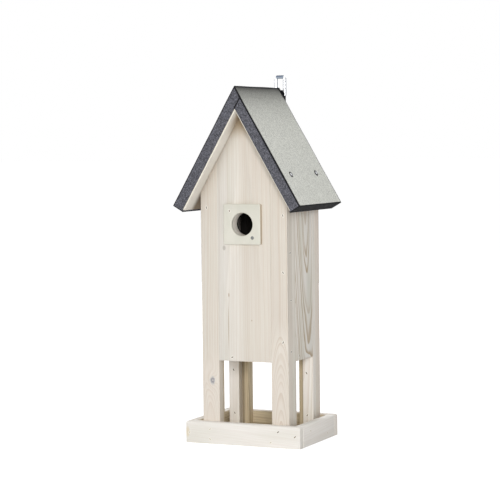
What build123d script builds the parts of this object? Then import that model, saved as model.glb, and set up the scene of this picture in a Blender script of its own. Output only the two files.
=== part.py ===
from build123d import *
import math
import os

# Tall timber nest box on four corner legs in a rimmed tray, under a steep gable roof.
# Millimetres, +Z up, the front faces -Y, and the origin is mid-way along and across
# the underside of the tray.

# Tower: front and rear walls cover the edges of the side walls
tower_width = 133.0
tower_depth = 112.0
wall_thickness = 16.0
leg_face = 26.2            # width of a leg as seen from the front and from the side
leg_height = 104.0         # from the tray floor up to the underside of the walls
wall_height = 236.3        # outer face of a side wall, from its underside to the roof
corner_round = 0.8         # eased outer corners of the tower

# Nest floor, set flush between the walls
nest_floor_thickness = 15.0
nest_floor_clearance = 0.3
drain_hole_diameter = 8.0
drain_hole_inset = 20.0    # from the edges of the nest floor to the hole's centre

# Entrance
entrance_diameter = 32.0
entrance_height = 192.5    # hole centre above the underside of the walls
plate_size = 56.2
plate_thickness = 6.0
plate_round = 1.5          # corners of the plate
hole_easing = 1.0          # bevelled rim of the hole in the plate

# Roof: the left board runs over the upper end of the right one
roof_pitch = 59.6          # degrees
roof_slope_length = 191.7  # from the ridge to the eave, along the outer face
roof_board_thickness = 15.0
roof_overhang_front = 26.0
roof_overhang_rear = 12.4

# Roof covering, a sheet turned down over the gables and the eaves
cover_thickness = 2.5
cover_reveal = 2.0         # strip of bare board left below the sheet on the gables
cover_round = 1.2          # outer folds of the sheet
cover_joint_gap = 0.2      # open joint between the two sheets at the ridge

# Base tray
tray_width = 176.0
tray_floor_thickness = 13.0
rim_height = 30.8
rim_thickness = 13.0
rim_round = 3.0            # rounded upper edges of the rim boards
rim_corner_round = 1.5     # eased ends of the front and rear rim boards

# Hanger: a wire bail with both legs let into a saddle behind the ridge
bail_wire_diameter = 5.0
bail_width = 18.8          # outside
bail_rise = 18.4           # above the ridge
bail_bend_radius = 2.8     # to the middle of the wire
bail_leg_depth = 8.0       # of each leg below the top of the saddle
bail_offset = 6.6          # from the end of the roof to the middle of the wire
saddle_width = 16.0
saddle_thickness = 8.0
saddle_height = 20.0
saddle_drop = 3.3          # top of the saddle below the ridge
saddle_chamfer = 3.8
saddle_lip_length = 3.0    # how far the lip laps on to the roof
saddle_lip_thickness = 1.0
saddle_lip_peak = 0.4      # flat top of the lip above the ridge
moulding_clearance = 0.05  # around each leg of the bail

# Worked out from the sizes above
pitch_tan = math.tan(math.radians(roof_pitch))
wall_base = tray_floor_thickness + leg_height
half_width = tower_width / 2
half_depth = tower_depth / 2
inner_half_width = half_width - wall_thickness
inner_half_depth = half_depth - wall_thickness
panel_half_width = half_width - leg_face
panel_half_depth = half_depth - leg_face
apex_height = wall_base + wall_height + half_width * pitch_tan
entrance_z = wall_base + entrance_height
roof_total_thickness = roof_board_thickness + cover_thickness
roof_front = -half_depth - roof_overhang_front
roof_rear = half_depth + roof_overhang_rear
eave_reach = roof_slope_length - roof_total_thickness * pitch_tan
ridge_height = apex_height + roof_total_thickness / math.cos(math.radians(roof_pitch))
tray_depth = tower_depth + 2 * rim_thickness


def roof_underside(x):
    """Height of the roof's underside over a place across the tower."""
    return apex_height - abs(x) * pitch_tan


def upright(points, y_from, y_to):
    """A board with the given outline in X and Z, between two places in Y."""
    face = Plane.XZ * make_face(Polyline(*points, close=True))
    board = extrude(face, amount=y_to - y_from, dir=(0, 1, 0))
    return Pos(0, y_from, 0) * board


def eased(board, x, y, radius):
    """Rounds the upright edge that stands at x, y."""
    edges = board.edges().filter_by(Axis.Z).filter_by(
        lambda edge: abs(edge.center().X - x) < 0.01 and abs(edge.center().Y - y) < 0.01
    )
    return fillet(edges, radius) if edges else board


# Corner legs: a wide stile on the front or rear, and a narrow one at the side


def wide_stile(side, end):
    """Stile of the front (end -1) or rear (end 1) wall, which runs down as a leg."""
    inner, outer = side * panel_half_width, side * half_width
    outline = [
        (inner, tray_floor_thickness),
        (outer, tray_floor_thickness),
        (outer, roof_underside(outer)),
        (inner, roof_underside(inner)),
    ]
    near, far = sorted((end * inner_half_depth, end * half_depth))
    return eased(upright(outline, near, far), outer, end * half_depth, corner_round)


def side_outline(side, bottom):
    """Section across a side wall, bevelled to the roof."""
    inner, outer = side * inner_half_width, side * half_width
    return [
        (inner, bottom),
        (outer, bottom),
        (outer, roof_underside(outer)),
        (inner, roof_underside(inner)),
    ]


def narrow_stile(side, end):
    """Strip of a side wall between the wide stile and the panel, down to the tray."""
    near, far = sorted((end * panel_half_depth, end * inner_half_depth))
    return upright(side_outline(side, tray_floor_thickness), near, far)


# Panels between the legs


def side_panel(side):
    return upright(side_outline(side, wall_base), -panel_half_depth, panel_half_depth)


def gable_panel(end):
    """Panel of the front or rear wall, up to the ridge."""
    edge = panel_half_width
    outline = [
        (-edge, wall_base),
        (edge, wall_base),
        (edge, roof_underside(edge)),
        (0, apex_height),
        (-edge, roof_underside(edge)),
    ]
    near, far = sorted((end * inner_half_depth, end * half_depth))
    return upright(outline, near, far)


def entrance_drill():
    """Round cutter along Y, longer than the wall and the plate together."""
    length = 2 * (wall_thickness + plate_thickness)
    middle = -half_depth + (wall_thickness - plate_thickness) / 2
    cutter = Rot(90, 0, 0) * Cylinder(entrance_diameter / 2, length)
    return Pos(0, middle, entrance_z) * cutter


def front_panel():
    return gable_panel(-1) - entrance_drill()


def entrance_plate():
    """Square plate around the entrance, rounded at its corners and bevelled at the hole."""
    blank = Box(plate_size, plate_thickness, plate_size)
    blank = fillet(blank.edges().filter_by(Axis.Y), plate_round)
    blank = Pos(0, -half_depth - plate_thickness / 2, entrance_z) * blank
    plate = blank - entrance_drill()
    face = plate.faces().sort_by(Axis.Y)[0]
    rim = face.edges().filter_by(GeomType.CIRCLE).sort_by(SortBy.RADIUS)[-1]
    return chamfer(rim, hole_easing)


def nest_floor():
    """Board flush with the underside of the walls, with four drain holes."""
    width = 2 * (inner_half_width - nest_floor_clearance)
    depth = 2 * (inner_half_depth - nest_floor_clearance)
    board = Pos(0, 0, wall_base + nest_floor_thickness / 2) * Box(width, depth, nest_floor_thickness)
    across, along = width / 2 - drain_hole_inset, depth / 2 - drain_hole_inset
    for x in (-across, across):
        for y in (-along, along):
            drill = Cylinder(drain_hole_diameter / 2, 2 * nest_floor_thickness)
            board -= Pos(x, y, wall_base + nest_floor_thickness / 2) * drill
    return board


# Roof.  Each slope has its own axes: s runs down the slope from the inner apex,
# and n stands off its underside.


def slope_point(side, s, n):
    pitch = math.radians(roof_pitch)
    x = s * math.cos(pitch) + n * math.sin(pitch)
    z = apex_height - s * math.sin(pitch) + n * math.cos(pitch)
    return (side * x, z)


def top_end(n, other_n):
    """Place s on one slope where the other slope's height is other_n."""
    double = math.radians(2 * roof_pitch)
    return (n * math.cos(double) - other_n) / math.sin(double)


def slope_outline(side, bottom, top, end, other_n):
    """Outline between two heights, down to end, cut at the other slope's height."""
    return [
        slope_point(side, top_end(bottom, other_n), bottom),
        slope_point(side, end, bottom),
        slope_point(side, end, top),
        slope_point(side, top_end(top, other_n), top),
    ]


def roof_board(side):
    """The left board (side -1) ends in the right slope, and the right one butts on it."""
    other = roof_board_thickness if side < 0 else 0.0
    outline = slope_outline(side, 0.0, roof_board_thickness, eave_reach - cover_thickness, other)
    return upright(outline, roof_front + cover_thickness, roof_rear - cover_thickness)


def roof_cover(side):
    """Sheet over a board, turned down over both gable faces and the whole of the eave."""
    other = roof_total_thickness if side < 0 else cover_reveal - cover_joint_gap
    outline = slope_outline(side, cover_reveal, roof_total_thickness, eave_reach, other)
    fold = eave_reach - cover_thickness
    outline[1:2] = [
        slope_point(side, fold, cover_reveal),
        slope_point(side, fold, 0.0),
        slope_point(side, eave_reach, 0.0),
    ]
    block = upright(outline, roof_front, roof_rear)
    top = slope_point(side, eave_reach, roof_total_thickness)
    ridge = slope_point(side, top_end(roof_total_thickness, other), roof_total_thickness)

    def on_outer_face(edge):
        middle = edge.center()
        rise = (middle.X - top[0]) * (ridge[1] - top[1]) - (middle.Z - top[1]) * (ridge[0] - top[0])
        return abs(rise) < 0.01 and abs(middle.X - ridge[0]) > 0.01

    folds = block.edges().filter_by(on_outer_face)
    block = fillet(folds, cover_round)
    return block - roof_board(-1) - roof_board(1)


# Base tray


def tray_floor():
    width = tray_width - 2 * rim_thickness
    return Pos(0, 0, tray_floor_thickness / 2) * Box(width, tower_depth, tray_floor_thickness)


def end_rim(end):
    """Front or rear rim board, which covers the ends of the side ones."""
    board = Box(tray_width, rim_thickness, rim_height)
    board = fillet(board.edges().filter_by(Axis.Z), rim_corner_round)
    board = fillet(board.faces().sort_by(Axis.Z)[-1].edges().filter_by(Axis.X), rim_round)
    return Pos(0, end * (tower_depth + rim_thickness) / 2, rim_height / 2) * board


def side_rim(side):
    board = Box(rim_thickness, tower_depth, rim_height)
    board = fillet(board.faces().sort_by(Axis.Z)[-1].edges().filter_by(Axis.Y), rim_round)
    return Pos(side * (tray_width - rim_thickness) / 2, 0, rim_height / 2) * board


# Hanger

bail_plane_y = roof_rear + bail_offset
bail_top = ridge_height + bail_rise
saddle_top = ridge_height - saddle_drop
leg_x = (bail_width - bail_wire_diameter) / 2
leg_end = saddle_top - bail_leg_depth


def hanger_bail():
    """Wire bent up, across and down again, upright behind the ridge."""
    bar_z = bail_top - bail_wire_diameter / 2
    corners = [(-leg_x, leg_end), (-leg_x, bar_z), (leg_x, bar_z), (leg_x, leg_end)]
    points = [(x, bail_plane_y, z) for x, z in corners]
    path = FilletPolyline(*points, radius=bail_bend_radius)
    section = Plane(origin=points[0], z_dir=(0, 0, 1)) * Circle(bail_wire_diameter / 2)
    return sweep(section, path=path)


def hanger_saddle():
    """Block on the rear gable, grooved for the wire, with a lip over the end of the ridge."""
    block = Box(saddle_width, saddle_thickness, saddle_height)
    upper = block.faces().sort_by(Axis.Z)[-1].edges().filter_by(Axis.Y)
    block = chamfer(upper, saddle_chamfer)
    block = Pos(0, roof_rear + saddle_thickness / 2, saddle_top - saddle_height / 2) * block
    half = saddle_width / 2
    drop = half * pitch_tan
    rise = saddle_lip_thickness / math.cos(math.radians(roof_pitch))
    flat = (rise - saddle_lip_peak) / pitch_tan
    lip = [
        (-half, ridge_height - drop),
        (0, ridge_height),
        (half, ridge_height - drop),
        (half, ridge_height - drop + rise),
        (flat, ridge_height + saddle_lip_peak),
        (-flat, ridge_height + saddle_lip_peak),
        (-half, ridge_height - drop + rise),
    ]
    block += upright(lip, roof_rear - saddle_lip_length, roof_rear + saddle_lip_thickness)
    for x in (-leg_x, leg_x):
        socket = Cylinder(
            bail_wire_diameter / 2 + moulding_clearance,
            bail_leg_depth + saddle_drop,
            align=(Align.CENTER, Align.CENTER, Align.MIN),
        )
        block -= Pos(x, bail_plane_y, leg_end) * socket
    return block


nodes = {
    "front_left_stile": wide_stile(-1, -1),
    "front_right_stile": wide_stile(1, -1),
    "rear_left_stile": wide_stile(-1, 1),
    "rear_right_stile": wide_stile(1, 1),
    "left_front_strip": narrow_stile(-1, -1),
    "left_rear_strip": narrow_stile(-1, 1),
    "right_front_strip": narrow_stile(1, -1),
    "right_rear_strip": narrow_stile(1, 1),
    "front_panel": front_panel(),
    "rear_panel": gable_panel(1),
    "left_panel": side_panel(-1),
    "right_panel": side_panel(1),
    "nest_floor": nest_floor(),
    "entrance_plate": entrance_plate(),
    "left_roof_board": roof_board(-1),
    "right_roof_board": roof_board(1),
    "left_roof_cover": roof_cover(-1),
    "right_roof_cover": roof_cover(1),
    "tray_floor": tray_floor(),
    "tray_front_rim": end_rim(-1),
    "tray_rear_rim": end_rim(1),
    "tray_left_rim": side_rim(-1),
    "tray_right_rim": side_rim(1),
    "hanger_bail": hanger_bail(),
    "hanger_saddle": hanger_saddle(),
}

os.makedirs("parts", exist_ok=True)
for name, solid in nodes.items():
    export_step(solid, f"parts/{name}.step")
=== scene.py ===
import math
import bmesh
import bpy
from mathutils import Matrix, Vector, noise


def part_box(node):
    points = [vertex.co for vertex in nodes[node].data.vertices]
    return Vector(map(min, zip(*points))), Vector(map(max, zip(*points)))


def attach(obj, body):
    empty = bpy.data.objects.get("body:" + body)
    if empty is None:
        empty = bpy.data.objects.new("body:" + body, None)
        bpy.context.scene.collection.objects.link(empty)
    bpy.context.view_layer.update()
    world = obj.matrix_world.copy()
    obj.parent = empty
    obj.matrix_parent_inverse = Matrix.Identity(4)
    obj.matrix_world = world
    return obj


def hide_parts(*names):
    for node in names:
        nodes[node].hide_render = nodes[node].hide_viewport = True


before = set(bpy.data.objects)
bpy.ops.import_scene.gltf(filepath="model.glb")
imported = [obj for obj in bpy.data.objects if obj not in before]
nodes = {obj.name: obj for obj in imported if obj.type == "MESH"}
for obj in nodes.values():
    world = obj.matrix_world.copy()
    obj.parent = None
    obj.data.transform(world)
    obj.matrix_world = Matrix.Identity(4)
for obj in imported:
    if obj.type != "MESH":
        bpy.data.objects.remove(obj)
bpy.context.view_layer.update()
scene = bpy.context.scene
mm = 0.001
print("frame loaded:", len(nodes), "CAD nodes")


# places read from the frame, in metres

panelLow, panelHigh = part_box("front_panel")
stileLow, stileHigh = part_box("front_right_stile")
plateLow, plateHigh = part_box("entrance_plate")
coverLow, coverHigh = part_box("left_roof_cover")  # the left sheet laps over the right one at the ridge
rimLow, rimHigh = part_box("tray_front_rim")
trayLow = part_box("tray_right_rim")[0]
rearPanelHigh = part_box("rear_panel")[1]
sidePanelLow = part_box("right_panel")[0]
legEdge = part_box("right_rear_strip")[0].y  # front-facing edge of a rear leg's strip

pitch = math.atan2(panelHigh.z - stileHigh.z, stileLow.x)
slopeOut = Vector((math.sin(pitch), 0, math.cos(pitch)))  # square to the right slope
slopeDown = Vector((math.cos(pitch), 0, -math.sin(pitch)))
ridge = Vector((0, 0, coverHigh.z))
print("pitch", round(math.degrees(pitch), 2), "ridge", tuple(ridge))


# camera, set by the straight edges in the photograph

camera = {
    "azimuth": 24.98,  # degrees round from the front, towards +X
    "elevation": 3.52,
    "roll": -0.66,
    "distance": 2.5675,
    "lookAside": -0.01505,  # to the left of the middle of the box
    "lookUp": 0.2703,
    "lens": 129.96,
    "sensor": 36.0,
}


def placeCamera():
    turn, tip, roll = (math.radians(camera[name]) for name in ("azimuth", "elevation", "roll"))
    back = Vector((math.sin(turn) * math.cos(tip), -math.cos(turn) * math.cos(tip), math.sin(tip)))
    level = Vector((math.cos(turn), math.sin(turn), 0))
    upright = back.cross(level)
    right = level * math.cos(roll) + upright * math.sin(roll)
    up = upright * math.cos(roll) - level * math.sin(roll)
    target = level * camera["lookAside"] + Vector((0, 0, camera["lookUp"]))
    lens = bpy.data.cameras.new("photoLens")
    lens.sensor_width = camera["sensor"]
    lens.lens = camera["lens"]
    lens.clip_start, lens.clip_end = 0.05, 100
    body = bpy.data.objects.new("photoCamera", lens)
    turned = Matrix((right, up, back)).transposed().to_4x4()
    body.matrix_world = Matrix.Translation(target + back * camera["distance"]) @ turned
    scene.collection.objects.link(body)
    scene.camera = body


placeCamera()


# nodes for shaders and for Geometry Nodes

def connect(tree, node, sockets):
    for name, value in sockets.items():
        if isinstance(value, bpy.types.NodeSocket):
            tree.links.new(value, node.inputs[name])
        else:
            node.inputs[name].default_value = value
    return node


def add(tree, kind, sockets=(), **settings):
    node = tree.nodes.new(kind)
    for name, value in settings.items():
        setattr(node, name, value)
    return connect(tree, node, dict(sockets))


def calc(tree, operation, *values):
    return add(tree, "ShaderNodeMath", dict(enumerate(values)), operation=operation).outputs[0]


def times(tree, first, second):
    return calc(tree, "MULTIPLY", first, second)


def minus(tree, first, second):
    return calc(tree, "SUBTRACT", first, second)


def scaled(tree, value, factor, offset):  # value times factor, plus offset
    return calc(tree, "MULTIPLY_ADD", value, factor, offset)


def squared(tree, value):
    return times(tree, value, value)


def ease(tree, value, start, end, low=0.0, high=1.0):  # smooth step from start to end
    sockets = {"Value": value, "From Min": start, "From Max": end, "To Min": low, "To Max": high}
    return add(tree, "ShaderNodeMapRange", sockets, interpolation_type="SMOOTHSTEP").outputs["Result"]


def blend(tree, factor, first, second):
    return add(tree, "ShaderNodeMix", {0: factor, 6: first, 7: second}, data_type="RGBA").outputs[2]


def cloud(tree, vector, stretch, detail=2.0, rough=0.5):  # noise, finer where the stretch is larger
    fitted = add(tree, "ShaderNodeMapping", {"Vector": vector, "Scale": stretch}).outputs[0]
    sockets = {"Vector": fitted, "Scale": 1.0, "Detail": detail, "Roughness": rough}
    return add(tree, "ShaderNodeTexNoise", sockets).outputs[0]


def split(tree, vector):
    return add(tree, "ShaderNodeSeparateXYZ", {0: vector}).outputs


def objectSpot(tree):
    return add(tree, "ShaderNodeTexCoord").outputs["Object"]


def bumpFrom(tree, shader, height, strength, distance):
    bump = add(tree, "ShaderNodeBump", {"Height": height, "Strength": strength, "Distance": distance})
    tree.links.new(bump.outputs[0], shader.inputs["Normal"])


def paint(tree, shader, look):
    tree.links.new(look, shader.inputs["Base Color"])


def colour(red, green, blue):  # sRGB, 0 to 255, as linear light
    def linear(value):
        value /= 255
        return value / 12.92 if value <= 0.04045 else ((value + 0.055) / 1.055) ** 2.4
    return (linear(red), linear(green), linear(blue), 1.0)


def newGroup(name, inputs, outputs):
    tree = bpy.data.node_groups.new(name, "ShaderNodeTree")
    for label, kind, value in inputs:
        socket = tree.interface.new_socket(label, in_out="INPUT", socket_type="NodeSocket" + kind)
        if value is not None:
            socket.default_value = value
    for label in outputs:
        tree.interface.new_socket(label, in_out="OUTPUT", socket_type="NodeSocketFloat")
    return tree, tree.nodes.new("NodeGroupInput").outputs, tree.nodes.new("NodeGroupOutput")


def useGroup(tree, group, sockets):
    return add(tree, "ShaderNodeGroup", sockets, node_tree=group).outputs


def newMaterial(name, roughness=0.5, metallic=0.0, specular=0.5):
    material = bpy.data.materials.new(name)
    material.use_nodes = True
    shader = material.node_tree.nodes["Principled BSDF"]
    tree = material.node_tree
    connect(tree, shader, {"Roughness": roughness, "Metallic": metallic, "Specular IOR Level": specular})
    return material, tree, shader


# growth rings, fibres and knots of one board
# the board's own frame: X across its face, Y into the wood, Z along the grain

grainShape = {
    "knotLength": 0.62,  # below 1, knots are longer along the grain
    "knotRagged": 0.9,
    "knotFade": -0.35,  # how fast the push on the rings dies away
    "knotPush": 1.3,  # in knot sizes
    "knotRings": 8.2,
    "ripple": 0.35,  # small waves, as a share of the large ones
    "uneven": 2.2,  # how far ring widths vary, in rings
    "lateFrom": 0.25,  # the dark part of each ring, as shares of its width
    "lateFull": 0.88,
    "lateEnd": 0.93,
    "faintest": 0.4,  # of the strongest ring
}


def buildPineGrain():
    inputs = [
        ("Vector", "Vector", None),
        ("Pith Across", "Float", 0.0),
        ("Pith Depth", "Float", 0.05),
        ("Lean Across", "Float", 0.0),
        ("Lean Depth", "Float", 0.0),
        ("Ring Width", "Float", 0.003),
        ("Waviness", "Float", 0.004),
        ("Knot Across", "Float", 9.0),
        ("Knot Along", "Float", 9.0),
        ("Knot Size", "Float", 0.004),
        ("Seed", "Float", 0.0),
    ]
    tree, given, out = newGroup("pineGrain", inputs, ["Late", "Fibre", "Mottle", "Knot", "Knot Ring"])
    place = split(tree, given["Vector"])
    away = add(tree, "ShaderNodeCombineXYZ", {
        0: times(tree, given["Seed"], 0.731),
        1: times(tree, given["Seed"], 0.377),
        2: times(tree, given["Seed"], 1.193),
    }).outputs[0]
    shifted = add(tree, "ShaderNodeVectorMath", {0: given["Vector"], 1: away}, operation="ADD").outputs[0]

    def fromPith(axis, offset, lean):
        return minus(tree, place[axis], scaled(tree, place[2], given[lean], given[offset]))

    def wander(stretch, detail):  # noise about zero
        return minus(tree, cloud(tree, shifted, stretch, detail), 0.5)

    aside, below = fromPith(0, "Pith Across", "Lean Across"), fromPith(1, "Pith Depth", "Lean Depth")
    radius = calc(tree, "SQRT", calc(tree, "ADD", squared(tree, aside), squared(tree, below)))

    # a knot pushes the rings aside
    knotAside = minus(tree, place[0], given["Knot Across"])
    knotAlong = times(tree, minus(tree, place[2], given["Knot Along"]), grainShape["knotLength"])
    knotSquare = calc(tree, "ADD", squared(tree, knotAside), squared(tree, knotAlong))
    knotDistance = calc(tree, "DIVIDE", calc(tree, "SQRT", knotSquare), given["Knot Size"])
    knotEdge = scaled(tree, wander((420, 420, 300), 2.0), grainShape["knotRagged"], knotDistance)
    swell = calc(tree, "EXPONENT", times(tree, squared(tree, knotDistance), grainShape["knotFade"]))
    radius = scaled(tree, times(tree, swell, given["Knot Size"]), grainShape["knotPush"], radius)

    # waves, large and small, and rings of uneven width
    radius = scaled(tree, wander((26, 26, 5.5), 1.5), given["Waviness"], radius)
    ripple = times(tree, wander((70, 70, 19), 2.0), grainShape["ripple"])
    radius = scaled(tree, ripple, given["Waviness"], radius)
    phase = calc(tree, "DIVIDE", radius, given["Ring Width"])
    along = scaled(tree, phase, 0.43, given["Seed"])
    uneven = add(tree, "ShaderNodeTexNoise", {"W": along, "Scale": 1.0, "Detail": 1.0},
                 noise_dimensions="1D").outputs[0]
    phase = scaled(tree, uneven, grainShape["uneven"], phase)
    part = calc(tree, "FRACT", phase)
    late = times(tree, ease(tree, part, grainShape["lateFrom"], grainShape["lateFull"]),
                 ease(tree, part, 1.0, grainShape["lateEnd"]))
    ringNumber = calc(tree, "ADD", calc(tree, "FLOOR", phase), given["Seed"])
    strength = add(tree, "ShaderNodeTexWhiteNoise", {"W": ringNumber}, noise_dimensions="1D").outputs["Value"]
    faintest = grainShape["faintest"]
    late = times(tree, late, scaled(tree, strength, 1 - faintest, faintest))
    whorl = calc(tree, "COSINE", scaled(tree, knotEdge, grainShape["knotRings"], math.pi))
    results = {
        "Late": late,
        "Fibre": cloud(tree, shifted, (1150, 1150, 26), 3.0, 0.6),
        "Mottle": cloud(tree, shifted, (34, 34, 7)),
        "Knot": ease(tree, knotEdge, 1.05, 0.65),
        "Knot Ring": scaled(tree, whorl, 0.5, 0.5),
    }
    connect(tree, out, results)
    return tree


pineGrain = buildPineGrain()


# small rough grains, from one value for each cell

def buildGranules():
    inputs = [("Vector", "Vector", None), ("Size", "Float", 0.001)]
    tree, given, out = newGroup("granules", inputs, ["Tone", "Height"])
    scale = calc(tree, "DIVIDE", 1.0, given["Size"])
    cells = add(tree, "ShaderNodeTexVoronoi", {"Vector": given["Vector"], "Scale": scale})
    tone = add(tree, "ShaderNodeSeparateColor", {0: cells.outputs["Color"]}).outputs[0]
    bulge = minus(tree, 1.0, times(tree, cells.outputs["Distance"], 1.2))
    connect(tree, out, {"Tone": tone, "Height": times(tree, bulge, scaled(tree, tone, 0.5, 0.5))})
    return tree


granules = buildGranules()
print("shader groups built")


# whitewashed pine

washed = {
    "pale": colour(231, 226, 217),
    "cream": colour(245, 242, 237),
    "late": colour(200, 182, 162),
    "lateDark": colour(180, 158, 126),
    "green": colour(222, 220, 208),
    "pink": colour(228, 214, 202),
    "dull": colour(198, 190, 178),
    "raw": colour(206, 191, 158),
    "rawLate": colour(156, 136, 102),
    "shaded": colour(98, 80, 50),
    "knot": colour(206, 203, 200),
    "knotDark": colour(128, 128, 138),
    "unlit": colour(24, 20, 15),
    "apexShade": colour(146, 120, 78),
    "roofContactShade": colour(134, 120, 103),
    "behind": colour(120, 100, 72),
    "bareEndHighlight": colour(241, 235, 220),
}


def boardFrame(along, face, origin):
    along, face = Vector(along).normalized(), Vector(face).normalized()
    into = -face
    across = into.cross(along)
    turned = Matrix((across, into, along))
    return turned.to_euler(), -(turned @ Vector(origin))


def insideMask(tree, place, reach):  # 1 where the wood faces the inside of the box or of the tray
    mask = None
    for axis, (low, high) in enumerate(reach):
        for limit, sign in ((low, 1), (high, -1)):
            if limit is None:
                continue
            step = ease(tree, place[axis], limit, limit + sign * toning["bareSoft"])
            mask = step if mask is None else times(tree, mask, step)
    return mask


# a board is glued from staves, and these hold where a stave says nothing else
usualStave = {"wave": 3.0, "pink": 0.3, "green": 0.3, "dim": 0.0, "contrast": 0.35, "fibre": 0.16,
              "soft": 0.25, "knotDepth": 0.8}
nestLevel = (panelLow.z + 14 * mm, panelLow.z + 18 * mm)  # the unwashed wood inside the nest above this is painted near-black as shade
toning = {
    "rawRings": 0.7,  # strength of rings and fibres in unwashed wood
    "rawFibre": 0.25,
    "bareLegs": 0.85,  # how bare the legs' inner faces and the tray are
    "bareSoft": 0.6 * mm,
    "stainEdge": (1.3, 0.2),  # rim and full tone, in squares of a stain's size
    "stainStrength": 0.75,
    "roofShade": 8 * mm,  # how far it reaches down the wall
    "roofShadeTurn": 5 * mm,  # it changes over this, either side of the middle
    "roofShadeRight": 0.6,  # of its strength on the left
}


def rawWoodAndShade(tree, board, place, grain, streak):
    toned = scaled(tree, grain["Late"], toning["rawRings"], times(tree, streak, toning["rawFibre"]))
    raw = blend(tree, toned, washed["raw"], washed["rawLate"])
    # painted shade in the inner corner of a rear leg
    if "shaded" in board:
        start, end, share = board["shaded"]
        raw = blend(tree, times(tree, ease(tree, place[0], start, end), share), raw, washed["shaded"])
    # painted shade: near-black inside the nest
    return blend(tree, ease(tree, place[2], *nestLevel), raw, washed["unlit"])


def staveLook(tree, board, stave, local, place):
    stave = {**usualStave, "cream": 1.0 if board.get("creamAndPaintedLight") else 0.0, **stave}
    knot = stave.get("knot", stave.get("swirl", (9000, 9000, 4)))
    grain = useGroup(tree, pineGrain, {
        "Vector": local,
        "Pith Across": stave["pith"][0] * mm,
        "Pith Depth": stave["pith"][1] * mm,
        "Lean Across": stave["lean"][0] * mm,
        "Lean Depth": stave["lean"][1] * mm,
        "Ring Width": stave["ring"] * mm,
        "Waviness": stave["wave"] * mm,
        "Knot Across": knot[0] * mm,
        "Knot Along": knot[1] * mm,
        "Knot Size": knot[2] * mm,
        "Seed": stave["seed"],
    })
    base = blend(tree, stave["cream"], washed["pale"], washed["cream"])
    base = blend(tree, stave["pink"], base, washed["pink"])
    base = blend(tree, stave["dim"], base, washed["dull"])
    mottle = times(tree, ease(tree, grain["Mottle"], 0.35, 0.7), stave["green"])
    look = blend(tree, mottle, base, washed["green"])
    late = washed["lateDark" if stave.get("strong") else "late"]
    look = blend(tree, times(tree, grain["Late"], stave["contrast"]), look, late)
    streak = ease(tree, grain["Fibre"], 0.3, 0.7)
    look = blend(tree, times(tree, streak, stave["fibre"]), look, washed["late"])
    if board["inside"]:
        raw = rawWoodAndShade(tree, board, place, grain, streak)
        inside = insideMask(tree, place, board["inside"])
        bare = times(tree, inside, ease(tree, place[2], *nestLevel, toning["bareLegs"], 1.0))
        look = blend(tree, bare, look, raw)
    if "knot" in stave:
        core = blend(tree, grain["Knot Ring"], washed["knot"], washed["knotDark"])
        look = blend(tree, times(tree, grain["Knot"], stave["knotDepth"]), look, core)
    relief = scaled(tree, grain["Fibre"], 0.6, times(tree, grain["Late"], 0.5))
    return look, relief


def markLook(tree, look, mark, localPlace):  # a small oval stain
    across, along, wide, tall, tone = mark
    aside = calc(tree, "DIVIDE", minus(tree, localPlace[0], across * mm), wide * mm)
    upward = calc(tree, "DIVIDE", minus(tree, localPlace[2], along * mm), tall * mm)
    away = calc(tree, "ADD", squared(tree, aside), squared(tree, upward))
    stain = times(tree, ease(tree, away, *toning["stainEdge"]), toning["stainStrength"])
    return blend(tree, stain, look, tone)


def shadeLook(tree, look, board, place):  # painted shade near the apex, under the roof and beside the walls, and a painted highlight on the bare board ends
    # painted shade, darker towards the apex
    if "apexShade" in board:
        low, high, share = board["apexShade"]
        shade = times(tree, ease(tree, place[2], low, high), share)
        if "behind" in board:
            shade = times(tree, shade, ease(tree, place[1], coverLow.y + 5 * mm, panelLow.y - 3 * mm))
        look = blend(tree, shade, look, washed["apexShade"])
    if "underRoofShade" in board:  # painted shade where the wall meets the roof, most on the left
        share, turn = board["underRoofShade"], toning["roofShadeTurn"]
        gap = minus(tree, times(tree, minus(tree, apex, place[2]), math.cos(pitch)),
                    times(tree, calc(tree, "ABSOLUTE", place[0]), math.sin(pitch)))
        shade = calc(tree, "EXPONENT", calc(tree, "DIVIDE", gap, -toning["roofShade"]))
        side = ease(tree, place[0], -turn, turn, share, share * toning["roofShadeRight"])
        look = blend(tree, times(tree, shade, side), look, washed["roofContactShade"])
    if "behind" in board:  # painted shadow on the underside of the roof beside the walls
        start, end = panelLow.y - 6 * mm, panelLow.y + 9 * mm
        look = blend(tree, times(tree, ease(tree, place[1], start, end), board["behind"]), look,
                     washed["behind"])
    # bare wood at the boards' ends, painted paler still as a highlight
    if "endPale" in board:
        fromMiddle = calc(tree, "ABSOLUTE", minus(tree, place[1], roofMiddle))
        pale = ease(tree, fromMiddle, board["endPale"] - 0.5 * mm, board["endPale"])
        look = blend(tree, pale, look, washed["bareEndHighlight"])
    return look


def washedPine(name, board):
    material, tree, shader = newMaterial(name, roughness=0.62, specular=0.3)
    spot = objectSpot(tree)
    turn, shift = boardFrame(board["along"], board["face"], board["origin"])
    local = add(tree, "ShaderNodeMapping", {"Vector": spot, "Location": shift, "Rotation": turn}).outputs[0]
    place, localPlace = split(tree, spot), split(tree, local)
    look, height = None, None
    for stave in board["staves"]:
        staveColour, relief = staveLook(tree, board, stave, local, place)
        if look is None:
            look, height = staveColour, relief
            continue
        axis, limit = (2, stave["above"]) if "above" in stave else (0, stave["from"])
        soft = stave.get("soft", usualStave["soft"])
        past = ease(tree, localPlace[axis], (limit - soft) * mm, (limit + soft) * mm)
        look = blend(tree, past, look, staveColour)
        height = add(tree, "ShaderNodeMix", {0: past, 2: height, 3: relief}).outputs[0]
    for mark in board.get("marks", ()):
        look = markLook(tree, look, mark, localPlace)
    look = shadeLook(tree, look, board, place)
    paint(tree, shader, look)
    bumpFrom(tree, shader, height, 0.35, 0.35 * mm)
    return material


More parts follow.
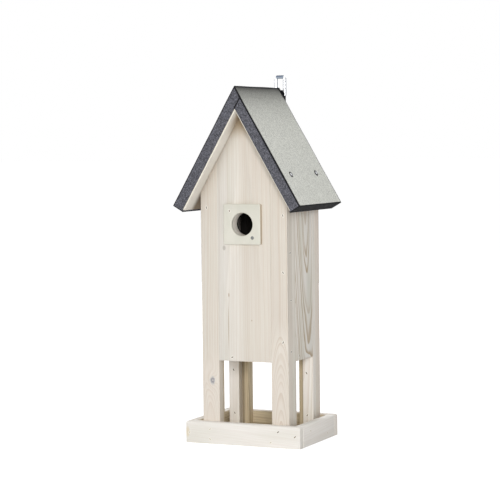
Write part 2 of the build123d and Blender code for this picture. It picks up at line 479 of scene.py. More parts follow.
def pineFor(name):
    low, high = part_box(name)
    middle = (low + high) / 2
    board = {**usualBoard, **boards[name]}
    face = Vector(board["face"])
    board["origin"] = [middle[i] + face[i] * (high[i] - low[i]) / 2 for i in range(3)]
    if board["along"] == upright:
        board["origin"][2] = 0.0  # heights are measured from the ground
    return washedPine("pine_" + name, board)


upright, sideways, foreAft = (0, 0, 1), (1, 0, 0), (0, 1, 0)
front, rear, left, right = (0, -1, 0), (0, 1, 0), (-1, 0, 0), (1, 0, 0)
bareEdge = 0.3 * mm
wallInside = (
    (-sidePanelLow.x - bareEdge, sidePanelLow.x + bareEdge),
    (-legEdge - 14 * mm, rearPanelHigh.y - 1 * mm),
    (None, None),
)
trayEdge = 1.2 * mm  # the wash stops short of the tray's inner arrises
trayInside = (
    (-trayLow.x - trayEdge, trayLow.x + trayEdge),
    (rimHigh.y - trayEdge, -rimHigh.y + trayEdge),
    (None, None),
)
usualBoard = {"along": upright, "inside": wallInside}
rearLegShade = (-46 * mm, -47 * mm, 0.75)
apex = panelHigh.z
roofMiddle = (coverLow.y + coverHigh.y) / 2
roofEnd = (coverHigh.y - coverLow.y) / 2 - 2.7 * mm  # the bare ends of the boards lie beyond this
markBrown, markGrey = colour(176, 150, 124), colour(188, 182, 172)
upperLeft = {"above": 118, "soft": 25, "pith": (-64, 22), "lean": (14, 6), "ring": 2.6, "contrast": 0.5,
             "pink": 0.18, "seed": 5.9, "wave": 4.5, "dim": 0.2}
upperRight = {"above": 160, "soft": 25, "pith": (58, 26), "lean": (-10, 4), "ring": 2.8,
              "contrast": 0.38, "seed": 2.9, "wave": 4.0, "dim": 0.3}
# pith and lean say where the middle of the log ran, in millimetres and millimetres per metre
# from and above say where a stave begins; a knot, a swirl and a mark have their place first
# the painted shades near the apex and in a rear leg's inner corner are a start, an end and a share; those
# under the roof and beside the walls are shares
boards = {
    "front_panel": {
        "face": front, "underRoofShade": 0.62, "apexShade": (apex - 42 * mm, apex - 14 * mm, 0.8),
        "marks": [(-24, 210, 0.9, 3.2, markBrown), (-25, 165, 0.5, 34, markBrown),
                  (-30.5, 276, 2.6, 3.8, markGrey), (11, 175, 0.9, 1.2, markBrown)],
        "staves": [
            {"pith": (-140, 60), "lean": (12, 0), "ring": 3.4, "contrast": 0.24, "cream": 0.42,
             "green": 0.4, "pink": 0.0, "seed": 3.1},
            {"from": -25, "pith": (-120, 60), "lean": (9, 0), "ring": 3.0, "contrast": 0.26,
             "cream": 0.14, "green": 0.5, "pink": 0.0, "seed": 4.4},
            {"from": -4, "soft": 7, "pith": (110, 75), "lean": (-10, 5), "ring": 2.7, "contrast": 0.36,
             "green": 0.2, "pink": 0.22, "dim": 0.34, "seed": 8.4},
        ],
    },
    "front_left_stile": {
        "face": front, "underRoofShade": 0.62,
        "staves": [{"pith": (-1, 5), "lean": (-12, 90), "ring": 1.7, "contrast": 0.32, "pink": 0.35,
                    "seed": 5.7, "knot": (2.3, 88, 4.6)}, upperLeft],
    },
    "front_right_stile": {
        "face": front, "underRoofShade": 0.62,
        "staves": [{"pith": (0.8, 3.5), "lean": (4, 100), "ring": 1.55, "contrast": 0.52, "pink": 0.35,
                    "seed": 2.3, "wave": 2.4}, upperRight],
    },
    "right_panel": {
        "face": right,
        "staves": [{"pith": (23, 38), "lean": (-50, -98), "ring": 4.3, "contrast": 0.95, "strong": True,
                    "cream": 0.6, "green": 1.0, "pink": 0.0, "seed": 6.2, "wave": 10.0,
                    "swirl": (13, 104, 7)}],
    },
    "left_panel": {
        "face": left,
        "staves": [{"pith": (-10, 26), "lean": (-6, -60), "ring": 3.5, "contrast": 0.8, "green": 0.7,
                    "pink": 0.2, "seed": 9.6, "wave": 5.0}],
    },
    "rear_panel": {
        "face": rear, "underRoofShade": 0.5,
        "staves": [
            {"pith": (-90, 50), "lean": (8, 0), "ring": 3.0, "contrast": 0.3, "green": 0.2, "pink": 0.6,
             "seed": 11.9},
            {"from": 9, "pith": (20, 24), "lean": (4, 60), "ring": 3.2, "contrast": 0.45, "green": 0.6,
             "pink": 0.1, "seed": 12.8},
        ],
    },
    "rear_left_stile": {
        "face": rear, "shaded": rearLegShade,
        "staves": [{"pith": (30, 18), "lean": (10, -8), "ring": 2.2, "contrast": 0.45, "pink": 0.6,
                    "seed": 14.2}],
    },
    "rear_right_stile": {
        "face": rear,
        "staves": [{"pith": (-4, 22), "lean": (5, -50), "ring": 2.0, "contrast": 0.45, "pink": 0.5,
                    "seed": 16.6}],
    },
    "left_front_strip": {
        "face": left,
        "staves": [{"pith": (40, 26), "lean": (5, 0), "ring": 2.4, "contrast": 0.4, "green": 0.5,
                    "seed": 18.3}],
    },
    # this strip's cream base is painted light, paler so that its front edge reads as lit
    "left_rear_strip": {
        "face": left, "shaded": rearLegShade, "creamAndPaintedLight": True,
        "staves": [{"pith": (-30, 22), "lean": (0, 8), "ring": 2.6, "contrast": 0.32, "pink": 0.1,
                    "seed": 21.5}],
    },
    "right_front_strip": {
        "face": right,
        "staves": [{"pith": (34, 30), "lean": (6, 0), "ring": 2.7, "contrast": 0.5, "green": 1.0,
                    "pink": 0.0, "seed": 23.7}],
    },
    # this strip's cream base is painted light, paler so that its front edge reads as lit
    "right_rear_strip": {
        "face": right, "creamAndPaintedLight": True,
        "staves": [{"pith": (-42, 20), "lean": (9, 0), "ring": 2.3, "contrast": 0.4, "green": 0.5,
                    "pink": 0.1, "seed": 25.1}],
    },
    "nest_floor": {
        "face": (0, 0, -1), "along": sideways,
        "staves": [{"pith": (14, 40), "lean": (20, 30), "ring": 2.8, "contrast": 0.5, "seed": 27.4}],
    },
    "tray_floor": {
        "face": (0, 0, 1), "along": sideways, "inside": trayInside,
        "staves": [{"pith": (-18, 35), "lean": (14, 50), "ring": 3.1, "contrast": 0.5, "seed": 31.2}],
    },
    "tray_front_rim": {
        "face": front, "along": sideways, "inside": trayInside, "creamAndPaintedLight": True,
        "marks": [(0, -85, 8, 3.5, colour(226, 213, 188))],
        "staves": [{"pith": (28, 16), "lean": (60, 30), "ring": 2.9, "contrast": 0.11, "green": 0.5,
                    "pink": 0.06, "dim": 0.05, "fibre": 0.1, "seed": 33.5}],
    },
    "tray_rear_rim": {
        "face": rear, "along": sideways, "inside": trayInside, "creamAndPaintedLight": True,
        "staves": [{"pith": (-24, 22), "lean": (-50, 20), "ring": 2.6, "contrast": 0.25, "pink": 0.2,
                    "seed": 35.8}],
    },
    "tray_left_rim": {
        "face": left, "along": foreAft, "inside": trayInside, "creamAndPaintedLight": True,
        "staves": [{"pith": (20, 14), "lean": (40, 30), "ring": 2.8, "contrast": 0.28, "pink": 0.2,
                    "seed": 38.9}],
    },
    "tray_right_rim": {
        "face": right, "along": foreAft, "inside": trayInside, "creamAndPaintedLight": True,
        "staves": [{"pith": (22, 18), "lean": (-55, 25), "ring": 2.7, "contrast": 0.16, "green": 0.4,
                    "pink": 0.05, "fibre": 0.1, "seed": 41.3}],
    },
    "left_roof_board": {
        "face": (slopeOut.x, 0, -slopeOut.z), "along": (-slopeDown.x, 0, slopeDown.z), "inside": None,
        "apexShade": (apex - 40 * mm, apex - 4 * mm, 0.8), "endPale": roofEnd, "behind": 0.9, "creamAndPaintedLight": True,
        "staves": [{"pith": (30, 45), "lean": (10, 20), "ring": 3.0, "contrast": 0.25, "green": 0.6,
                    "pink": 0.0, "dim": 0.2, "seed": 44.6}],
    },
    "right_roof_board": {
        "face": (-slopeOut.x, 0, -slopeOut.z), "along": (slopeDown.x, 0, slopeDown.z), "inside": None,
        "apexShade": (apex - 50 * mm, apex + 2 * mm, 0.9), "endPale": roofEnd, "behind": 0.9, "creamAndPaintedLight": True,
        "staves": [{"pith": (-26, 38), "lean": (12, 18), "ring": 3.2, "contrast": 0.25, "green": 0.5,
                    "seed": 47.9}],
    },
}


# cream paint of the entrance plate

plate = {
    "paint": colour(221, 218, 206),
    "dullPaint": colour(215, 213, 200),
    "sidesBareAndShaded": colour(178, 160, 136),
    "roughness": 0.5,
    "brushing": 0.25,
}


def creamPaint():
    material, tree, shader = newMaterial("creamPaint", roughness=plate["roughness"], specular=0.4)
    spot = objectSpot(tree)
    drift = ease(tree, cloud(tree, spot, (60, 60, 40), 2.0), 0.35, 0.7)
    brushed = cloud(tree, spot, (900, 900, 60), 3.0)
    look = blend(tree, drift, plate["paint"], plate["dullPaint"])
    place = split(tree, spot)
    # the plate's sides: bare wood, painted darker still as shade
    edge = ease(tree, calc(tree, "ABSOLUTE", place[0]), plateHigh.x - 0.7 * mm, plateHigh.x - 0.3 * mm)
    edge = times(tree, edge, ease(tree, place[1], plateLow.y + 0.6 * mm, plateLow.y + 2 * mm))
    paint(tree, shader, blend(tree, edge, look, plate["sidesBareAndShaded"]))
    bumpFrom(tree, shader, brushed, plate["brushing"], 0.2 * mm)
    return material


# mineral-faced roofing sheet: grey-green on the slopes, charcoal where it is folded down

roofing = {
    "slope": colour(230, 231, 223),
    "slopePale": colour(250, 251, 243),
    "slopeDark": colour(205, 206, 198),
    "ridge": colour(46, 46, 45),
    "band": colour(84, 84, 90),
    "bandPale": colour(124, 125, 135),
    "bandDark": colour(60, 60, 64),
    "fold": colour(21, 21, 24),
    "eave": colour(31, 32, 35),
    "fadeLength": 12 * mm,  # across, from the ridge
    "foldWidth": 2.1 * mm,  # below the slope's face
    "foldBack": 2.3 * mm,  # from the gable on to the slope
    "jointWidth": 1.15 * mm,
    "grainSize": 0.9 * mm,
}


def roofingSheet():
    material, tree, shader = newMaterial("roofingSheet", roughness=0.85, specular=0.25)
    spot = objectSpot(tree)
    place = split(tree, spot)
    across = calc(tree, "ABSOLUTE", place[0])
    below = minus(tree, coverHigh.z, place[2])
    # depth under the slope's face, and length down the slope
    depth = minus(tree, times(tree, below, math.cos(pitch)), times(tree, across, math.sin(pitch)))
    down = calc(tree, "ADD", times(tree, below, math.sin(pitch)), times(tree, across, math.cos(pitch)))
    fromGable = calc(tree, "MINIMUM", minus(tree, place[1], coverLow.y), minus(tree, coverHigh.y, place[1]))
    fromEave = minus(tree, -coverLow.x / math.cos(pitch), down)
    grains = useGroup(tree, granules, {"Vector": spot, "Size": roofing["grainSize"]})
    patch = ease(tree, cloud(tree, spot, (160, 160, 160), 3.0, 0.6), 0.3, 0.7)
    drift = scaled(tree, patch, 0.12, times(tree, grains["Tone"], 0.88))
    slope = blend(tree, ease(tree, drift, 0.15, 0.5), roofing["slopeDark"], roofing["slope"])
    slope = blend(tree, ease(tree, drift, 0.5, 0.9), slope, roofing["slopePale"])
    fade = calc(tree, "EXPONENT", calc(tree, "DIVIDE", across, -roofing["fadeLength"]))
    slope = blend(tree, fade, slope, roofing["ridge"])
    slope = blend(tree, ease(tree, across, 1.6 * mm, 0.8 * mm), slope, roofing["fold"])
    band = blend(tree, ease(tree, drift, 0.5, 1.0), roofing["band"], roofing["bandPale"])
    band = blend(tree, ease(tree, drift, 0.35, 0.1), band, roofing["bandDark"])
    back = roofing["foldBack"]
    onSlope = times(tree, ease(tree, depth, 0.9 * mm, 0.5 * mm),
                    ease(tree, fromGable, back - 0.3 * mm, back + 0.3 * mm))
    onSlope = times(tree, onSlope, ease(tree, fromEave, 0.2 * mm, 0.7 * mm))
    look = blend(tree, onSlope, band, slope)
    # the eave face: charcoal, painted near-black for the shade under the eave
    look = blend(tree, ease(tree, fromEave, 0.7 * mm, 0.2 * mm), look, roofing["eave"])
    folded = times(tree, ease(tree, depth, roofing["foldWidth"], roofing["foldWidth"] * 0.6),
                   minus(tree, 1.0, onSlope))
    look = blend(tree, folded, look, roofing["fold"])
    # the line on the gables where one sheet laps the other
    overLeft = minus(tree, times(tree, minus(tree, place[2], apex), math.cos(pitch)),
                     times(tree, place[0], math.sin(pitch)))
    fromJoint = calc(tree, "ABSOLUTE", minus(tree, overLeft, 1.9 * mm))
    joint = ease(tree, fromJoint, roofing["jointWidth"], roofing["jointWidth"] * 0.5)
    joint = times(tree, joint, ease(tree, fromGable, 0.6 * mm, 0.3 * mm))
    joint = times(tree, joint, ease(tree, place[0], -2 * mm, -1 * mm))
    look = blend(tree, joint, look, roofing["fold"])
    paint(tree, shader, look)
    bumpFrom(tree, shader, grains["Height"], 0.6, 0.35 * mm)
    return material


# zinc coat, steel and black moulding

def zincCoat(name, tone, roughness):
    material, tree, shader = newMaterial(name, roughness=roughness, metallic=1.0)
    spot = objectSpot(tree)
    spangle = add(tree, "ShaderNodeTexVoronoi", {"Vector": spot, "Scale": 700.0})
    cell = add(tree, "ShaderNodeSeparateColor", {0: spangle.outputs["Color"]}).outputs[0]
    dull = [channel * 0.82 for channel in tone[:3]] + [1.0]
    paint(tree, shader, blend(tree, cell, tone, dull))
    tree.links.new(scaled(tree, cell, 0.12, roughness), shader.inputs["Roughness"])
    drawn = cloud(tree, spot, (1500, 1500, 300), 2.0)
    bumpFrom(tree, shader, drawn, 0.15, 0.1 * mm)
    return material


# bare wire, its reflections painted in: near-white legs with painted dark reflections along their sides, and
# a bar painted in shade, darkest on top
wire = {
    "leg": colour(252, 252, 253),
    "legSideReflection": colour(112, 122, 138),
    "bar": colour(178, 189, 203),
    "barTopShade": colour(86, 98, 118),
}


def brightWire():
    material, tree, shader = newMaterial("brightWire", roughness=0.35, metallic=0.5, specular=0.2)
    spot = objectSpot(tree)
    place = split(tree, spot)
    low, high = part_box("hanger_bail")
    radius = (high.y - low.y) / 2
    aside = minus(tree, calc(tree, "ABSOLUTE", place[0]), high.x - radius)
    aside = times(tree, calc(tree, "DIVIDE", aside, radius), calc(tree, "SIGN", place[0]))
    sideReflection = calc(tree, "MAXIMUM", ease(tree, aside, 0.72, 0.95), ease(tree, aside, -0.3, -0.75))
    leg = blend(tree, sideReflection, wire["leg"], wire["legSideReflection"])
    top = ease(tree, place[2], high.z - 2.7 * mm, high.z - 1.5 * mm)
    bar = blend(tree, top, wire["bar"], wire["barTopShade"])
    onBar = times(tree, ease(tree, place[2], high.z - 2.2 * radius, high.z - 1.8 * radius),
                  ease(tree, calc(tree, "ABSOLUTE", place[0]), high.x - 1.1 * radius,
                       high.x - 1.7 * radius))
    dull = scaled(tree, cloud(tree, spot, (300, 300, 300), 2.0), 0.1, 0.25)
    paint(tree, shader, blend(tree, onBar, leg, bar))
    tree.links.new(dull, shader.inputs["Roughness"])
    return material


def blackMoulding(name, dark, pale):
    material, tree, shader = newMaterial(name, roughness=0.6, specular=0.1)
    spot = objectSpot(tree)
    fine = cloud(tree, spot, (1800, 1800, 1800), 2.0)
    paint(tree, shader, blend(tree, fine, dark, pale))
    bumpFrom(tree, shader, fine, 0.3, 0.1 * mm)
    return material


def plainSteel():
    material, tree, shader = newMaterial("dullSteel", roughness=0.7, metallic=0.1, specular=0.1)
    spot = objectSpot(tree)
    stain = ease(tree, cloud(tree, spot, (500, 500, 500), 2.0), 0.35, 0.65)
    paint(tree, shader, blend(tree, stain, colour(118, 98, 72), colour(66, 54, 41)))
    return material


def filledHole(name, pale, dark):
    material, tree, shader = newMaterial(name, roughness=0.7, specular=0.25)
    spot = objectSpot(tree)
    patch = cloud(tree, spot, (600, 600, 600), 2.0)
    paint(tree, shader, blend(tree, patch, pale, dark))
    return material


finishes = {
    "plate": creamPaint(),
    "roofing": roofingSheet(),
    "bail": brightWire(),
    "screw": zincCoat("zincScrew", colour(240, 241, 243), 0.3),
    "dullScrew": zincCoat("dullZincScrew", colour(150, 152, 150), 0.55),
    "seal": blackMoulding("darkSeal", colour(13, 13, 15), colour(25, 26, 28)),
    "saddle": blackMoulding("blackMoulding", colour(8, 9, 11), colour(17, 18, 21)),
    "brad": plainSteel(),
    "filler": filledHole("filledHole", colour(246, 243, 236), colour(236, 230, 219)),
    "filledBrad": filledHole("filledBrad", colour(206, 196, 176), colour(184, 174, 156)),
}
print("materials built:", len(finishes))


# pieces: a solid's mesh with its arrises eased, put in the solid's place

def cleanMesh(name):
    mesh = bmesh.new()
    mesh.from_mesh(nodes[name].data)
    bmesh.ops.remove_doubles(mesh, verts=mesh.verts, dist=2e-6)
    bmesh.ops.dissolve_limit(mesh, angle_limit=math.radians(0.5), verts=mesh.verts, edges=mesh.edges)
    return mesh


def objectFrom(mesh, name):
    data = bpy.data.meshes.new(name)
    mesh.to_mesh(data)
    mesh.free()
    piece = bpy.data.objects.new(name, data)
    scene.collection.objects.link(piece)
    return piece


def applied(piece):  # the piece with its modifiers made plain
    graph = bpy.context.evaluated_depsgraph_get()
    graph.update()
    plain = bpy.data.meshes.new_from_object(piece.evaluated_get(graph))
    piece.modifiers.clear()
    piece.data = plain
    return piece


def coat(piece, material):
    piece.data.materials.clear()
    piece.data.materials.append(material)


def settle(piece, node, material):
    coat(piece, material)
    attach(piece, "root")
    if node:
        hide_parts(node)


easing = {"timber": 0.45 * mm, "plate": 0.5 * mm, "saddle": 0.3 * mm, "segments": 3,
          "angle": 30}  # only edges sharper than this, in degrees


def easedPiece(node, width, material):
    piece = objectFrom(cleanMesh(node), "eased_" + node)
    piece.data.shade_smooth()
    bevel = piece.modifiers.new("arris", "BEVEL")
    bevel.width = width
    bevel.segments = easing["segments"]
    bevel.limit_method = "ANGLE"
    bevel.angle_limit = math.radians(easing["angle"])
    bevel.harden_normals = True
    bevel.miter_outer = "MITER_ARC"
    settle(applied(piece), node, material)
    return piece


for name in boards:
    easedPiece(name, easing["timber"], pineFor(name))
easedPiece("entrance_plate", easing["plate"], finishes["plate"])
easedPiece("hanger_saddle", easing["saddle"], finishes["saddle"])
coat(nodes["hanger_bail"], finishes["bail"])
print("timber eased:", len(boards), "boards")


# roofing sheets, cut into small faces and made slightly uneven

sheet = {
    "cell": 3.0 * mm,
    "layers": 6,  # of cells below the slope's face
    "roughness": 0.10 * mm,
    "roughLength": 1.6 * mm,
    "swell": 0.35 * mm,
    "swellLength": 45 * mm,
    "apart": 7,  # in swells, so that the two sheets differ
    "skin": 0.8 * mm,  # only what lies this near the outside moves
}


def slicePlanes(mesh, point, normal, count, step):
    for number in range(1, count):
        geometry = mesh.verts[:] + mesh.edges[:] + mesh.faces[:]
        bmesh.ops.bisect_plane(mesh, geom=geometry, dist=1e-7, plane_co=point + normal * step * number,
                               plane_no=normal)


def roofSkin(node, side):
    mesh = cleanMesh(node)
    down = Vector((slopeDown.x * side, 0, slopeDown.z))
    out = Vector((slopeOut.x * side, 0, slopeOut.z))
    start = Vector((0, coverLow.y, ridge.z))
    cell = sheet["cell"]
    length = (ridge.z - coverLow.z) / math.sin(pitch)
    slicePlanes(mesh, start, down, int(length / cell) + 1, cell)
    slicePlanes(mesh, start, Vector((0, 1, 0)), int((coverHigh.y - coverLow.y) / cell) + 1, cell)
    slicePlanes(mesh, start, -out, sheet["layers"], cell)
    bmesh.ops.triangulate(mesh, faces=[f for f in mesh.faces if len(f.verts) > 4])
    bmesh.ops.subdivide_edges(mesh, edges=mesh.edges, cuts=1, use_grid_fill=True)
    mesh.normal_update()
    for vertex in mesh.verts:
        place = vertex.co
        depth = -(place - start).dot(out)
        if min(abs(depth), place.y - coverLow.y, coverHigh.y - place.y) > sheet["skin"]:
            continue
        slow = noise.noise(place / sheet["swellLength"] + Vector((side * sheet["apart"], 0, 0)))
        fine = noise.noise(place / sheet["roughLength"])
        vertex.co = place + vertex.normal * (slow * sheet["swell"] + fine * sheet["roughness"])
    piece = objectFrom(mesh, "skin_" + node)
    piece.data.shade_smooth()
    settle(piece, node, finishes["roofing"])
    print(node, len(piece.data.polygons), "faces")


roofSkin("right_roof_cover", 1)
roofSkin("left_roof_cover", -1)


# fasteners, by Geometry Nodes: a head on each point of a guide mesh

def vector(tree, x=0.0, y=0.0, z=0.0):
    return add(tree, "ShaderNodeCombineXYZ", {0: x, 1: y, 2: z}).outputs[0]


def headTree(name, sizes, makeHead):
    tree = bpy.data.node_groups.new(name, "GeometryNodeTree")
    tree.interface.new_socket("Geometry", in_out="INPUT", socket_type="NodeSocketGeometry")
    for label in sizes:
        tree.interface.new_socket(label, in_out="INPUT", socket_type="NodeSocketFloat").subtype = "DISTANCE"
    tree.interface.new_socket("Finish", in_out="INPUT", socket_type="NodeSocketMaterial")
    tree.interface.new_socket("Geometry", in_out="OUTPUT", socket_type="NodeSocketGeometry")
    given = tree.nodes.new("NodeGroupInput").outputs

    def named(label, kind):
        return add(tree, "GeometryNodeInputNamedAttribute", {"Name": label}, data_type=kind).outputs[0]

    facing, turn = named("facing", "FLOAT_VECTOR"), named("turn", "FLOAT")
    aimed = add(tree, "FunctionNodeAlignRotationToVector", {"Vector": facing}, axis="Z").outputs[0]
    spin = add(tree, "FunctionNodeEulerToRotation", {0: vector(tree, z=turn)}).outputs[0]
    aimed = add(tree, "FunctionNodeRotateRotation", {"Rotation": aimed, "Rotate By": spin},
                rotation_space="LOCAL").outputs[0]
    spread = {"Points": given["Geometry"], "Instance": makeHead(tree, given), "Rotation": aimed}
    placed = add(tree, "GeometryNodeInstanceOnPoints", spread).outputs[0]
    real = add(tree, "GeometryNodeRealizeInstances", {0: placed}).outputs[0]
    done = add(tree, "GeometryNodeSetMaterial", {"Geometry": real, "Material": given["Finish"]}).outputs[0]
    smooth = add(tree, "GeometryNodeSetShadeSmooth", {"Geometry": done, "Shade Smooth": False}).outputs[0]
    out = tree.nodes.new("NodeGroupOutput")
    tree.links.new(smooth, out.inputs[0])
    return tree


def barHead(tree, given):  # a brad's narrow head, standing a little proud
    size = vector(tree, given["Width"], given["Length"], given["Proud"])
    return add(tree, "GeometryNodeMeshCube", {"Size": size}).outputs[0]


def flattened(tree, shape, height, radius, wide=1.0, tall=1.0):  # as high as given, not as its radius
    stretch = vector(tree, wide, tall, calc(tree, "DIVIDE", height, radius))
    return add(tree, "GeometryNodeTransform", {"Geometry": shape, "Scale": stretch}).outputs[0]


def ballOf(tree, radius, segments, rings):
    sizes = {"Segments": segments, "Rings": rings, "Radius": radius}
    return add(tree, "GeometryNodeMeshUVSphere", sizes).outputs[0]


def lensHead(tree, given):  # filler smeared round a brad
    ball = ballOf(tree, given["Radius"], 16, 8)
    return flattened(tree, ball, given["Proud"], given["Radius"], 0.8, 1.15)


recessTurn = 20  # degrees, which keeps the recess off the dome's own edges


def crossHead(tree, given):  # a domed head with a cross recess
    dome = flattened(tree, ballOf(tree, given["Radius"], 28, 14), given["Dome"], given["Radius"])
    cut = add(tree, "GeometryNodeMeshBoolean", {"Mesh 1": dome}, operation="DIFFERENCE")
    raised = {"Translation": vector(tree, z=given["Dome"]), "Rotation": (0.0, 0.0, math.radians(recessTurn))}
    for long, wide in (("Recess", "Slot"), ("Slot", "Recess")):
        size = vector(tree, given[long], given[wide], given["Dome"])
        bar = add(tree, "GeometryNodeMeshCube", {"Size": size}).outputs[0]
        bar = add(tree, "GeometryNodeTransform", {"Geometry": bar, **raised}).outputs[0]
        tree.links.new(bar, cut.inputs["Mesh 2"])
    return cut.outputs[0]


def cupHead(tree, given):  # a cup washer, turned from its section
    def circle(radius, resolution):
        sizes = {"Resolution": resolution, "Radius": radius}
        return add(tree, "GeometryNodeCurvePrimitiveCircle", sizes).outputs[0]

    around = {"Curve": circle(given["Ring Radius"], 36), "Profile Curve": circle(given["Lip"], 12)}
    turned = add(tree, "GeometryNodeCurveToMesh", around).outputs[0]
    return flattened(tree, turned, given["Height"], given["Lip"])


def fasten(name, tree, spots, material):
    guide = bmesh.new()
    for spot in spots:
        guide.verts.new(spot[0])
    piece = objectFrom(guide, name)
    for label, kind in (("facing", "FLOAT_VECTOR"), ("turn", "FLOAT")):
        piece.data.attributes.new(label, kind, "POINT")
    for number, (_, facing, turn) in enumerate(spots):
        piece.data.attributes["facing"].data[number].vector = facing
        piece.data.attributes["turn"].data[number].value = turn
    maker = piece.modifiers.new("heads", "NODES")
    maker.node_group = tree
    keys = {item.name: item.identifier for item in tree.interface.items_tree if item.in_out == "INPUT"}
    for label, value in headSizes[name].items():
        maker[keys[label]] = value
    maker[keys["Finish"]] = material
    applied(piece)
    settle(piece, None, material)
    print(name, len(spots), "heads,", len(piece.data.polygons), "faces")


wallFront, wallSide, wallRear = panelLow.y, stileHigh.x, rearPanelHigh.y
rimFront, rimSide = rimLow.y, rimHigh.x

# brads on each face: the place along it, the height and the turn in degrees
bradSpots = {
    "frontWall": [(-57.4, 332.4, 10), (59.9, 321.9, 20), (59.4, 243, 30), (58.6, 146, -20),
                  (-19.6, 122.5, -75)],
    "sideWall": [(-47.4, 269.9, 15), (-45.8, 204.1, -10), (-46.5, 132.3, 20), (-19.3, 123.5, 60)],
    "legEdge": [(56.7, 92.5, 35), (57.1, 31.9, -30), (-59, 92.6, 30), (-57.9, 29.5, 25)],
    "frontRim": [(80.5, 17.2, -45), (55.2, 22.6, -50)],
    "frontRimFilled": [(-82, 14.7, -40), (-49.7, 20.8, -45), (-49.9, 6.7, 40), (43.6, 7.3, -60)],
    "sideRimFilled": [(29.8, 8.7, 40), (-31, 20.5, -35)],
}

# a brad that faces front or right has a twin that faces rear or left
# the two faces, and whether the twin keeps its side
bradFaces = {
    "frontWall": (wallFront, wallRear, False),
    "legEdge": (legEdge, -legEdge, True),
    "frontRim": (rimFront, -rimFront, False),
    "frontRimFilled": (rimFront, -rimFront, False),
}


def spotsOn():
    spots, filled = [], []

    def put(group, place, facing, turn):
        group.append((Vector(place), Vector(facing), math.radians(turn)))

    def putPair(face, group=spots):  # one at the front, its twin turned round to the rear
        near, far, sameSide = bradFaces[face]
        for across, height, turn in bradSpots[face]:
            put(group, (across * mm, near, height * mm), front, turn)
            put(group, (across * mm if sameSide else -across * mm, far, height * mm), rear, turn)

    def putSides(face, reach, group=spots):  # one on the right, its mirror image on the left
        for along, height, turn in bradSpots[face]:
            put(group, (reach, along * mm, height * mm), right, turn)
            put(group, (-reach, along * mm, height * mm), left, -turn)

    putPair("frontWall")
    putSides("sideWall", wallSide)
    putPair("legEdge")
    putPair("frontRim")
    putPair("frontRimFilled", filled)
    putSides("sideRimFilled", rimSide, filled)
    return spots, filled


brads, filledBrads = spotsOn()
bar = headTree("bradHeads", ("Width", "Length", "Proud"), barHead)
lens = headTree("fillerSpots", ("Radius", "Proud"), lensHead)
cross = headTree("crossHeads", ("Radius", "Dome", "Recess", "Slot"), crossHead)
cup = headTree("cupWashers", ("Ring Radius", "Lip", "Height"), cupHead)
headSizes = {
    "brads": {"Width": 1.15 * mm, "Length": 3.2 * mm, "Proud": 0.24 * mm},
    "bradFiller": {"Radius": 2.3 * mm, "Proud": 0.09 * mm},
    "filledBrads": {"Width": 0.9 * mm, "Length": 2.8 * mm, "Proud": 0.22 * mm},
    "roofScrews": {"Radius": 2.5 * mm, "Dome": 1.3 * mm, "Recess": 2.2 * mm, "Slot": 0.45 * mm},
    "roofWashers": {"Ring Radius": 3.2 * mm, "Lip": 1.2 * mm, "Height": 0.8 * mm},
    "plateScrew": {"Radius": 2.5 * mm, "Dome": 0.7 * mm, "Recess": 2.6 * mm, "Slot": 0.6 * mm},
    "plateNail": {"Width": 1.7 * mm, "Length": 2.2 * mm, "Proud": 0.35 * mm},
    "plateNailRim": {"Radius": 2.3 * mm, "Proud": 0.12 * mm},
}
fasten("brads", bar, brads, finishes["brad"])
fasten("bradFiller", lens, brads + filledBrads, finishes["filler"])
fasten("filledBrads", bar, filledBrads, finishes["filledBrad"])

screws = {
    "down": 142.2 * mm,  # from the ridge
    "places": (-54.1 * mm, 34.8 * mm),  # along the ridge
    "firstTurn": 0.5,  # radians
    "turnByPlace": 9,  # radians to the metre, so that no two recesses lie alike
}
roofSpots = []
for side in (1, -1):
    for y in screws["places"]:
        place = Vector((slopeDown.x * side, 0, slopeDown.z)) * screws["down"] + ridge + Vector((0, y, 0))
        facing = Vector((slopeOut.x * side, 0, slopeOut.z))
        roofSpots.append((place, facing, screws["firstTurn"] + side * y * screws["turnByPlace"]))
fasten("roofScrews", cross, roofSpots, finishes["screw"])
fasten("roofWashers", cup, roofSpots, finishes["seal"])

# each one's place, where it faces, and its turn in radians
plateFace = plateLow.y
plateSpots = [(Vector((16.0 * mm, plateFace, 290.9 * mm)), Vector(front), 0.6)]
nailSpots = [(Vector((-18.6 * mm, plateFace, 328.2 * mm)), Vector(front), 0.9)]
fasten("plateScrew", cross, plateSpots, finishes["dullScrew"])
fasten("plateNail", bar, nailSpots, finishes["brad"])
fasten("plateNailRim", lens, nailSpots, finishes["filler"])


# floor, world and lamps

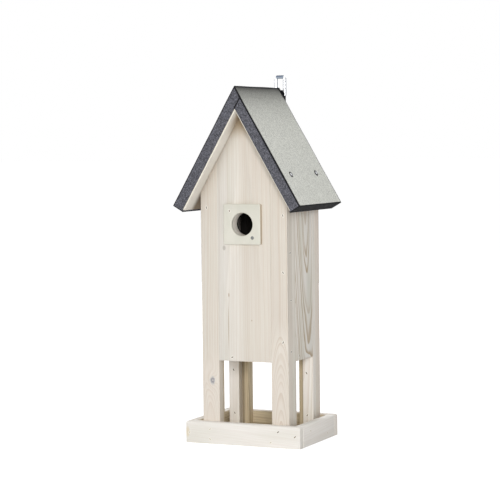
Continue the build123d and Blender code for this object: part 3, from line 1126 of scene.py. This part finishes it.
studio = {
    "world": 0.4,
    "floorColour": (0.86, 0.86, 0.86, 1),
    "floorLift": 0.68,  # added where the camera looks at the floor
    "floorSize": 60.0,
    "lampAim": (0, 0, 0.25),
    "keyLamp": {"place": (1.25, -2.56, 0.75), "size": 0.9, "power": 46.5},
    "leftLamp": {"place": (-2.7, 0.0, 0.9), "size": 1.4, "power": 13.0},
    "rearLamp": {"place": (-0.5, 2.6, 0.6), "size": 1.4, "power": 26.0},
    "topLamp": {"place": (-0.6, -0.4, 2.6), "size": 1.2, "power": 6.0},
}


def buildWorld():
    world = bpy.data.worlds.new("paleStudio")
    scene.world = world
    world.use_nodes = True
    tree = world.node_tree
    tree.nodes.clear()
    path = add(tree, "ShaderNodeLightPath").outputs
    bent = calc(tree, "MAXIMUM", path["Is Glossy Ray"], path["Is Transmission Ray"])
    seen = calc(tree, "MAXIMUM", path["Is Camera Ray"], bent)

    def glow(strength):
        sockets = {"Color": (1, 1, 1, 1), "Strength": strength}
        return add(tree, "ShaderNodeBackground", sockets).outputs[0]

    mixed = add(tree, "ShaderNodeMixShader", {0: seen, 1: glow(studio["world"]), 2: glow(1.0)}).outputs[0]
    add(tree, "ShaderNodeOutputWorld", {"Surface": mixed})


def buildFloor():
    half = studio["floorSize"] / 2
    mesh = bpy.data.meshes.new("studioFloor")
    corners = [(-half, -half, 0), (half, -half, 0), (half, half, 0), (-half, half, 0)]
    mesh.from_pydata(corners, [], [(0, 1, 2, 3)])
    floor = bpy.data.objects.new("studioFloor", mesh)
    scene.collection.objects.link(floor)
    material, tree, shader = newMaterial("paleFloor", roughness=0.9, specular=0.0)
    path = add(tree, "ShaderNodeLightPath").outputs
    lift = times(tree, path["Is Camera Ray"], studio["floorLift"])
    connect(tree, shader, {"Base Color": studio["floorColour"], "Emission Color": (1, 1, 1, 1),
                           "Emission Strength": lift})
    mesh.materials.append(material)


def buildLamp(name):
    lamp = studio[name]
    data = bpy.data.lights.new(name, "AREA")
    data.shape = "SQUARE"
    data.size = lamp["size"]
    data.energy = lamp["power"]
    body = bpy.data.objects.new(name, data)
    body.location = lamp["place"]
    aim = Vector(studio["lampAim"]) - body.location
    body.rotation_euler = aim.to_track_quat("-Z", "Y").to_euler()
    scene.collection.objects.link(body)


buildWorld()
buildFloor()
for lampName in ("keyLamp", "leftLamp", "rearLamp", "topLamp"):
    buildLamp(lampName)
scene.view_settings.view_transform = "Standard"

print("scene ready")
